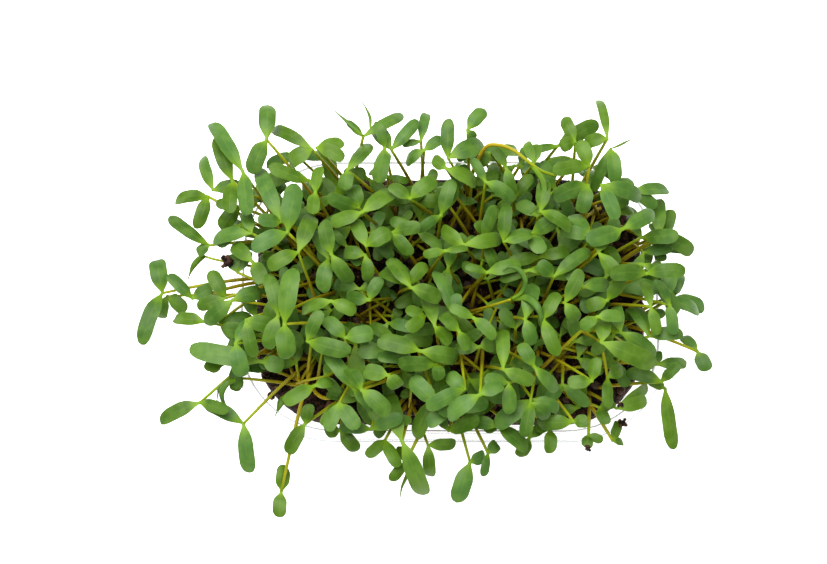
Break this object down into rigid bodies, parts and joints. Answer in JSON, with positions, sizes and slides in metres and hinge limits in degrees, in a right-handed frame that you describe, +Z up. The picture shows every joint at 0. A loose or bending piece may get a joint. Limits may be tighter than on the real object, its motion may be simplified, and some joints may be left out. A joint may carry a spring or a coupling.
{
  "type": "potted microgreens",
  "caption": "Shallow clear tub with rounded corners and a rolled rim, filled with dark growing mix and a dense clump of young chard seedlings that lean out over the rim.",
  "frame": {"origin": "middle of the tub's flat base, on the surface that it stands on", "axes": "+Z up out of the tub, +X along the tub's long side to the picture's right, -Y towards the viewer"},
  "size_m": [0.234, 0.167, 0.0931],
  "materials": {
    "clear_plastic": "clear, glossy, thin",
    "growing_mix": "dark brown, crumbly, matt",
    "chard_green": "fresh green leaves with a soft sheen on yellow-green stems"
  },
  "bodies": {
    "root": {"tub": "clear_plastic", "growing_mix": "growing_mix", "seedlings_01": "chard_green", "seedlings_02": "chard_green", "seedlings_03": "chard_green", "seedlings_04": "chard_green", "seedlings_05": "chard_green", "seedlings_06": "chard_green", "seedlings_07": "chard_green", "seedlings_08": "chard_green", "seedlings_09": "chard_green", "seedlings_10": "chard_green", "seedlings_11": "chard_green", "seedlings_12": "chard_green", "seedlings_13": "chard_green", "seedlings_14": "chard_green", "seedlings_15": "chard_green", "seedlings_16": "chard_green", "seedlings_17": "chard_green", "seedlings_18": "chard_green", "seedlings_19": "chard_green", "seedlings_20": "chard_green", "seedlings_21": "chard_green", "seedlings_22": "chard_green", "seedlings_23": "chard_green", "seedlings_24": "chard_green", "seedlings_25": "chard_green", "seedlings_26": "chard_green", "seedlings_27": "chard_green", "seedlings_28": "chard_green", "seedlings_29": "chard_green", "seedlings_30": "chard_green", "seedlings_31": "chard_green", "seedlings_32": "chard_green", "seedlings_33": "chard_green", "seedlings_34": "chard_green", "seedlings_35": "chard_green", "seedlings_36": "chard_green", "seedlings_37": "chard_green", "seedlings_38": "chard_green", "seedlings_39": "chard_green", "seedlings_40": "chard_green", "seedlings_41": "chard_green", "seedlings_42": "chard_green", "seedlings_43": "chard_green", "seedlings_44": "chard_green", "seedlings_45": "chard_green", "seedlings_46": "chard_green", "seedlings_47": "chard_green", "seedlings_48": "chard_green", "seedlings_49": "chard_green", "seedlings_50": "chard_green", "seedlings_51": "chard_green", "seedlings_52": "chard_green", "seedlings_53": "chard_green"}
  },
  "joints": []
}
